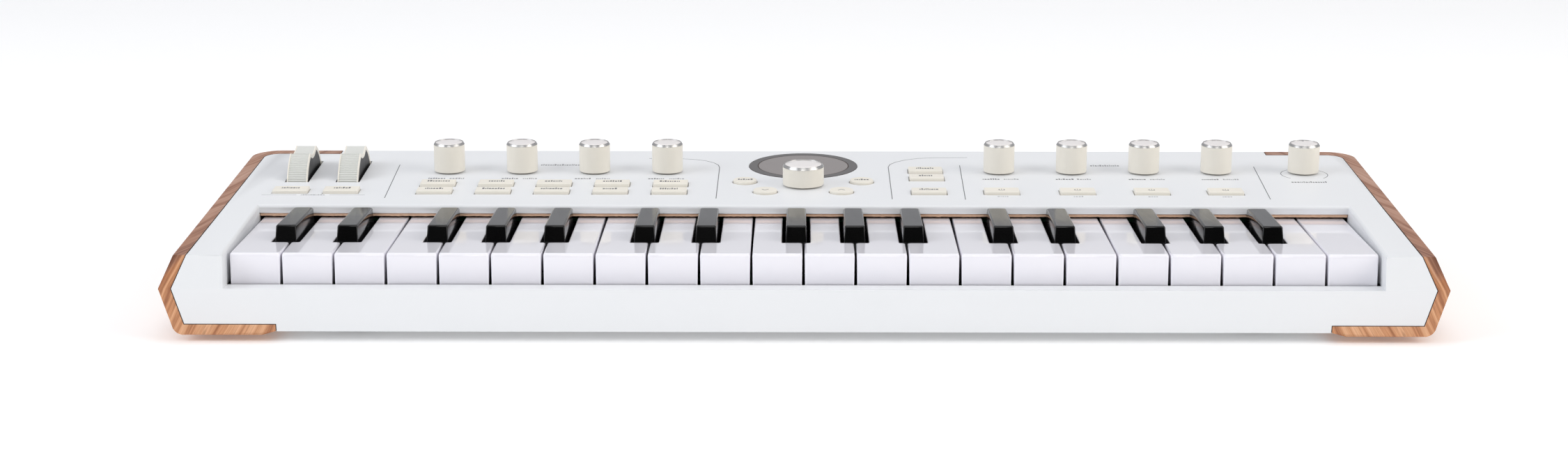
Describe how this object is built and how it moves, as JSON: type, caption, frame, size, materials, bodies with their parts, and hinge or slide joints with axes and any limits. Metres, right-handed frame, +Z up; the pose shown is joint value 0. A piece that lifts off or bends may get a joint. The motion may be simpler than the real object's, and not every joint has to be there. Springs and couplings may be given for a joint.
{
  "type": "synthesizer",
  "caption": "Compact slim-key synthesizer with wooden end caps, sprung keys, turning knobs, push buttons, a round display and pitch and modulation wheels.",
  "frame": {"origin": "centre of the footprint, on the surface that the rubber feet stand on", "axes": "+X to the player's right along the keyboard, +Y away from the player towards the rear sockets, +Z up"},
  "size_m": [0.545, 0.202, 0.0622],
  "materials": {
    "white_case": "satin moulded white",
    "wood": "oiled open-grain reddish brown",
    "white_key": "polished white",
    "black_key": "polished black",
    "ivory_plastic": "satin ivory",
    "wheel_grey": "ribbed light grey",
    "display": "tinted window over a grey dial",
    "felt": "tan felt",
    "black_plastic": "moulded black",
    "board": "green solder mask",
    "socket_metal": "nickel plated",
    "steel": "zinc plated",
    "rubber": "moulded black"
  },
  "bodies": {
    "case": {"top_case": "white_case", "bottom_case": "white_case", "wood_end_caps": "wood", "key_chassis": "black_plastic", "felt_strip": "felt", "display_window": "display", "circuit_boards": "board", "rear_sockets": "socket_metal", "rubber_feet": "rubber", "case_screws": "steel"},
    "buttons": {"panel_buttons": "ivory_plastic"},
    "pitch_wheel": {"pitch_wheel": "wheel_grey"},
    "mod_wheel": {"mod_wheel": "wheel_grey"},
    "encoder_knob": {"encoder_knob": "ivory_plastic"},
    "instrument_knob_1": {"instrument_knob_1": "ivory_plastic"},
    "instrument_knob_2": {"instrument_knob_2": "ivory_plastic"},
    "instrument_knob_3": {"instrument_knob_3": "ivory_plastic"},
    "instrument_knob_4": {"instrument_knob_4": "ivory_plastic"},
    "effect_knob_1": {"effect_knob_1": "ivory_plastic"},
    "effect_knob_2": {"effect_knob_2": "ivory_plastic"},
    "effect_knob_3": {"effect_knob_3": "ivory_plastic"},
    "effect_knob_4": {"effect_knob_4": "ivory_plastic"},
    "volume_knob": {"volume_knob": "ivory_plastic"},
    "key_c_3": {"key_c_3": "white_key"},
    "key_c_sharp_3": {"key_c_sharp_3": "black_key"},
    "key_d_3": {"key_d_3": "white_key"},
    "key_d_sharp_3": {"key_d_sharp_3": "black_key"},
    "key_e_3": {"key_e_3": "white_key"},
    "key_f_3": {"key_f_3": "white_key"},
    "key_f_sharp_3": {"key_f_sharp_3": "black_key"},
    "key_g_3": {"key_g_3": "white_key"},
    "key_g_sharp_3": {"key_g_sharp_3": "black_key"},
    "key_a_3": {"key_a_3": "white_key"},
    "key_a_sharp_3": {"key_a_sharp_3": "black_key"},
    "key_b_3": {"key_b_3": "white_key"},
    "key_c_4": {"key_c_4": "white_key"},
    "key_c_sharp_4": {"key_c_sharp_4": "black_key"},
    "key_d_4": {"key_d_4": "white_key"},
    "key_d_sharp_4": {"key_d_sharp_4": "black_key"},
    "key_e_4": {"key_e_4": "white_key"},
    "key_f_4": {"key_f_4": "white_key"},
    "key_f_sharp_4": {"key_f_sharp_4": "black_key"},
    "key_g_4": {"key_g_4": "white_key"},
    "key_g_sharp_4": {"key_g_sharp_4": "black_key"},
    "key_a_4": {"key_a_4": "white_key"},
    "key_a_sharp_4": {"key_a_sharp_4": "black_key"},
    "key_b_4": {"key_b_4": "white_key"},
    "key_c_5": {"key_c_5": "white_key"},
    "key_c_sharp_5": {"key_c_sharp_5": "black_key"},
    "key_d_5": {"key_d_5": "white_key"},
    "key_d_sharp_5": {"key_d_sharp_5": "black_key"},
    "key_e_5": {"key_e_5": "white_key"},
    "key_f_5": {"key_f_5": "white_key"},
    "key_f_sharp_5": {"key_f_sharp_5": "black_key"},
    "key_g_5": {"key_g_5": "white_key"},
    "key_g_sharp_5": {"key_g_sharp_5": "black_key"},
    "key_a_5": {"key_a_5": "white_key"},
    "key_a_sharp_5": {"key_a_sharp_5": "black_key"},
    "key_b_5": {"key_b_5": "white_key"},
    "key_c_6": {"key_c_6": "white_key"}
  },
  "joints": [
    {"name": "pitch_wheel_turn", "type": "hinge", "parent": "case", "child": "pitch_wheel", "pos_m": [-0.2356, 0.0517, 0.0358], "axis": [1, 0, 0], "range_deg": [-35, 35], "stiffness_Nm_per_rad": 0.08},
    {"name": "mod_wheel_turn", "type": "hinge", "parent": "case", "child": "mod_wheel", "pos_m": [-0.212, 0.0517, 0.0358], "axis": [1, 0, 0], "range_deg": [-35, 35]},
    {"name": "buttons_press", "type": "slide", "parent": "case", "child": "buttons", "axis": [0, 0.0603, -0.9982], "range_m": [0, 0.0008], "stiffness_N_per_m": 2500, "springref_m": -0.0006},
    {"name": "encoder_turn", "type": "hinge", "parent": "case", "child": "encoder_knob", "pos_m": [0, 0.0253, 0.04583], "axis": [0, -0.0603, 0.9982], "continuous": true},
    {"name": "instrument_1_turn", "type": "hinge", "parent": "case", "child": "instrument_knob_1", "pos_m": [-0.1668, 0.0514, 0.0474], "axis": [0, -0.0603, 0.9982], "continuous": true},
    {"name": "instrument_2_turn", "type": "hinge", "parent": "case", "child": "instrument_knob_2", "pos_m": [-0.1325, 0.0514, 0.0474], "axis": [0, -0.0603, 0.9982], "continuous": true},
    {"name": "instrument_3_turn", "type": "hinge", "parent": "case", "child": "instrument_knob_3", "pos_m": [-0.0983, 0.0514, 0.0474], "axis": [0, -0.0603, 0.9982], "continuous": true},
    {"name": "instrument_4_turn", "type": "hinge", "parent": "case", "child": "instrument_knob_4", "pos_m": [-0.064, 0.0514, 0.0474], "axis": [0, -0.0603, 0.9982], "continuous": true},
    {"name": "effect_1_turn", "type": "hinge", "parent": "case", "child": "effect_knob_1", "pos_m": [0.0922, 0.0514, 0.0474], "axis": [0, -0.0603, 0.9982], "continuous": true},
    {"name": "effect_2_turn", "type": "hinge", "parent": "case", "child": "effect_knob_2", "pos_m": [0.1263, 0.0514, 0.0474], "axis": [0, -0.0603, 0.9982], "continuous": true},
    {"name": "effect_3_turn", "type": "hinge", "parent": "case", "child": "effect_knob_3", "pos_m": [0.1604, 0.0514, 0.0474], "axis": [0, -0.0603, 0.9982], "continuous": true},
    {"name": "effect_4_turn", "type": "hinge", "parent": "case", "child": "effect_knob_4", "pos_m": [0.1945, 0.0514, 0.0474], "axis": [0, -0.0603, 0.9982], "continuous": true},
    {"name": "volume_turn", "type": "hinge", "parent": "case", "child": "volume_knob", "pos_m": [0.2356, 0.0514, 0.0474], "axis": [0, -0.0603, 0.9982], "range_deg": [-150, 150]},
    {"name": "key_c_4_press", "type": "hinge", "parent": "case", "child": "key_c_4", "pos_m": [-0.08161, 0.01795, 0.0275], "axis": [1, 0, 0], "range_deg": [0, 4.2], "stiffness_Nm_per_rad": 0.45, "springref_deg": -7.45},
    {"name": "key_c_sharp_4_press", "type": "hinge", "parent": "case", "child": "key_c_sharp_4", "pos_m": [-0.06882, 0.01795, 0.0275], "axis": [1, 0, 0], "range_deg": [0, 4.2], "stiffness_Nm_per_rad": 0.45, "springref_deg": -7.45},
    {"name": "key_c_3_press", "type": "hinge", "parent": "case", "child": "key_c_3", "pos_m": [-0.23701, 0.01795, 0.0275], "axis": [1, 0, 0], "range_deg": [0, 4.2], "stiffness_Nm_per_rad": 0.45, "springref_deg": -7.45},
    {"name": "key_c_sharp_3_press", "type": "hinge", "parent": "case", "child": "key_c_sharp_3", "pos_m": [-0.22422, 0.01795, 0.0275], "axis": [1, 0, 0], "range_deg": [0, 4.2], "stiffness_Nm_per_rad": 0.45, "springref_deg": -7.45},
    {"name": "key_d_3_press", "type": "hinge", "parent": "case", "child": "key_d_3", "pos_m": [-0.2109, 0.01795, 0.0275], "axis": [1, 0, 0], "range_deg": [0, 4.2], "stiffness_Nm_per_rad": 0.45, "springref_deg": -7.45},
    {"name": "key_d_sharp_3_press", "type": "hinge", "parent": "case", "child": "key_d_sharp_3", "pos_m": [-0.19758, 0.01795, 0.0275], "axis": [1, 0, 0], "range_deg": [0, 4.2], "stiffness_Nm_per_rad": 0.45, "springref_deg": -7.45},
    {"name": "key_e_3_press", "type": "hinge", "parent": "case", "child": "key_e_3", "pos_m": [-0.18479, 0.01795, 0.0275], "axis": [1, 0, 0], "range_deg": [0, 4.2], "stiffness_Nm_per_rad": 0.45, "springref_deg": -7.45},
    {"name": "key_f_3_press", "type": "hinge", "parent": "case", "child": "key_f_3", "pos_m": [-0.17089, 0.01795, 0.0275], "axis": [1, 0, 0], "range_deg": [0, 4.2], "stiffness_Nm_per_rad": 0.45, "springref_deg": -7.45},
    {"name": "key_f_sharp_3_press", "type": "hinge", "parent": "case", "child": "key_f_sharp_3", "pos_m": [-0.15857, 0.01795, 0.0275], "axis": [1, 0, 0], "range_deg": [0, 4.2], "stiffness_Nm_per_rad": 0.45, "springref_deg": -7.45},
    {"name": "key_g_3_press", "type": "hinge", "parent": "case", "child": "key_g_3", "pos_m": [-0.14589, 0.01795, 0.0275], "axis": [1, 0, 0], "range_deg": [0, 4.2], "stiffness_Nm_per_rad": 0.45, "springref_deg": -7.45},
    {"name": "key_g_sharp_3_press", "type": "hinge", "parent": "case", "child": "key_g_sharp_3", "pos_m": [-0.1332, 0.01795, 0.0275], "axis": [1, 0, 0], "range_deg": [0, 4.2], "stiffness_Nm_per_rad": 0.45, "springref_deg": -7.45},
    {"name": "key_a_3_press", "type": "hinge", "parent": "case", "child": "key_a_3", "pos_m": [-0.12051, 0.01795, 0.0275], "axis": [1, 0, 0], "range_deg": [0, 4.2], "stiffness_Nm_per_rad": 0.45, "springref_deg": -7.45},
    {"name": "key_a_sharp_3_press", "type": "hinge", "parent": "case", "child": "key_a_sharp_3", "pos_m": [-0.10783, 0.01795, 0.0275], "axis": [1, 0, 0], "range_deg": [0, 4.2], "stiffness_Nm_per_rad": 0.45, "springref_deg": -7.45},
    {"name": "key_b_3_press", "type": "hinge", "parent": "case", "child": "key_b_3", "pos_m": [-0.09551, 0.01795, 0.0275], "axis": [1, 0, 0], "range_deg": [0, 4.2], "stiffness_Nm_per_rad": 0.45, "springref_deg": -7.45},
    {"name": "key_d_4_press", "type": "hinge", "parent": "case", "child": "key_d_4", "pos_m": [-0.0555, 0.01795, 0.0275], "axis": [1, 0, 0], "range_deg": [0, 4.2], "stiffness_Nm_per_rad": 0.45, "springref_deg": -7.45},
    {"name": "key_d_sharp_4_press", "type": "hinge", "parent": "case", "child": "key_d_sharp_4", "pos_m": [-0.04218, 0.01795, 0.0275], "axis": [1, 0, 0], "range_deg": [0, 4.2], "stiffness_Nm_per_rad": 0.45, "springref_deg": -7.45},
    {"name": "key_e_4_press", "type": "hinge", "parent": "case", "child": "key_e_4", "pos_m": [-0.02939, 0.01795, 0.0275], "axis": [1, 0, 0], "range_deg": [0, 4.2], "stiffness_Nm_per_rad": 0.45, "springref_deg": -7.45},
    {"name": "key_f_4_press", "type": "hinge", "parent": "case", "child": "key_f_4", "pos_m": [-0.01549, 0.01795, 0.0275], "axis": [1, 0, 0], "range_deg": [0, 4.2], "stiffness_Nm_per_rad": 0.45, "springref_deg": -7.45},
    {"name": "key_f_sharp_4_press", "type": "hinge", "parent": "case", "child": "key_f_sharp_4", "pos_m": [-0.00317, 0.01795, 0.0275], "axis": [1, 0, 0], "range_deg": [0, 4.2], "stiffness_Nm_per_rad": 0.45, "springref_deg": -7.45},
    {"name": "key_g_4_press", "type": "hinge", "parent": "case", "child": "key_g_4", "pos_m": [0.00951, 0.01795, 0.0275], "axis": [1, 0, 0], "range_deg": [0, 4.2], "stiffness_Nm_per_rad": 0.45, "springref_deg": -7.45},
    {"name": "key_g_sharp_4_press", "type": "hinge", "parent": "case", "child": "key_g_sharp_4", "pos_m": [0.0222, 0.01795, 0.0275], "axis": [1, 0, 0], "range_deg": [0, 4.2], "stiffness_Nm_per_rad": 0.45, "springref_deg": -7.45},
    {"name": "key_a_4_press", "type": "hinge", "parent": "case", "child": "key_a_4", "pos_m": [0.03489, 0.01795, 0.0275], "axis": [1, 0, 0], "range_deg": [0, 4.2], "stiffness_Nm_per_rad": 0.45, "springref_deg": -7.45},
    {"name": "key_a_sharp_4_press", "type": "hinge", "parent": "case", "child": "key_a_sharp_4", "pos_m": [0.04757, 0.01795, 0.0275], "axis": [1, 0, 0], "range_deg": [0, 4.2], "stiffness_Nm_per_rad": 0.45, "springref_deg": -7.45},
    {"name": "key_b_4_press", "type": "hinge", "parent": "case", "child": "key_b_4", "pos_m": [0.05989, 0.01795, 0.0275], "axis": [1, 0, 0], "range_deg": [0, 4.2], "stiffness_Nm_per_rad": 0.45, "springref_deg": -7.45},
    {"name": "key_c_5_press", "type": "hinge", "parent": "case", "child": "key_c_5", "pos_m": [0.07379, 0.01795, 0.0275], "axis": [1, 0, 0], "range_deg": [0, 4.2], "stiffness_Nm_per_rad": 0.45, "springref_deg": -7.45},
    {"name": "key_c_sharp_5_press", "type": "hinge", "parent": "case", "child": "key_c_sharp_5", "pos_m": [0.08658, 0.01795, 0.0275], "axis": [1, 0, 0], "range_deg": [0, 4.2], "stiffness_Nm_per_rad": 0.45, "springref_deg": -7.45},
    {"name": "key_d_5_press", "type": "hinge", "parent": "case", "child": "key_d_5", "pos_m": [0.0999, 0.01795, 0.0275], "axis": [1, 0, 0], "range_deg": [0, 4.2], "stiffness_Nm_per_rad": 0.45, "springref_deg": -7.45},
    {"name": "key_d_sharp_5_press", "type": "hinge", "parent": "case", "child": "key_d_sharp_5", "pos_m": [0.11322, 0.01795, 0.0275], "axis": [1, 0, 0], "range_deg": [0, 4.2], "stiffness_Nm_per_rad": 0.45, "springref_deg": -7.45},
    {"name": "key_e_5_press", "type": "hinge", "parent": "case", "child": "key_e_5", "pos_m": [0.12601, 0.01795, 0.0275], "axis": [1, 0, 0], "range_deg": [0, 4.2], "stiffness_Nm_per_rad": 0.45, "springref_deg": -7.45},
    {"name": "key_f_5_press", "type": "hinge", "parent": "case", "child": "key_f_5", "pos_m": [0.13991, 0.01795, 0.0275], "axis": [1, 0, 0], "range_deg": [0, 4.2], "stiffness_Nm_per_rad": 0.45, "springref_deg": -7.45},
    {"name": "key_f_sharp_5_press", "type": "hinge", "parent": "case", "child": "key_f_sharp_5", "pos_m": [0.15223, 0.01795, 0.0275], "axis": [1, 0, 0], "range_deg": [0, 4.2], "stiffness_Nm_per_rad": 0.45, "springref_deg": -7.45},
    {"name": "key_g_5_press", "type": "hinge", "parent": "case", "child": "key_g_5", "pos_m": [0.16491, 0.01795, 0.0275], "axis": [1, 0, 0], "range_deg": [0, 4.2], "stiffness_Nm_per_rad": 0.45, "springref_deg": -7.45},
    {"name": "key_g_sharp_5_press", "type": "hinge", "parent": "case", "child": "key_g_sharp_5", "pos_m": [0.1776, 0.01795, 0.0275], "axis": [1, 0, 0], "range_deg": [0, 4.2], "stiffness_Nm_per_rad": 0.45, "springref_deg": -7.45},
    {"name": "key_a_5_press", "type": "hinge", "parent": "case", "child": "key_a_5", "pos_m": [0.19029, 0.01795, 0.0275], "axis": [1, 0, 0], "range_deg": [0, 4.2], "stiffness_Nm_per_rad": 0.45, "springref_deg": -7.45},
    {"name": "key_a_sharp_5_press", "type": "hinge", "parent": "case", "child": "key_a_sharp_5", "pos_m": [0.20297, 0.01795, 0.0275], "axis": [1, 0, 0], "range_deg": [0, 4.2], "stiffness_Nm_per_rad": 0.45, "springref_deg": -7.45},
    {"name": "key_b_5_press", "type": "hinge", "parent": "case", "child": "key_b_5", "pos_m": [0.21529, 0.01795, 0.0275], "axis": [1, 0, 0], "range_deg": [0, 4.2], "stiffness_Nm_per_rad": 0.45, "springref_deg": -7.45},
    {"name": "key_c_6_press", "type": "hinge", "parent": "case", "child": "key_c_6", "pos_m": [0.2331, 0.01795, 0.0275], "axis": [1, 0, 0], "range_deg": [0, 4.2], "stiffness_Nm_per_rad": 0.45, "springref_deg": -7.45}
  ]
}
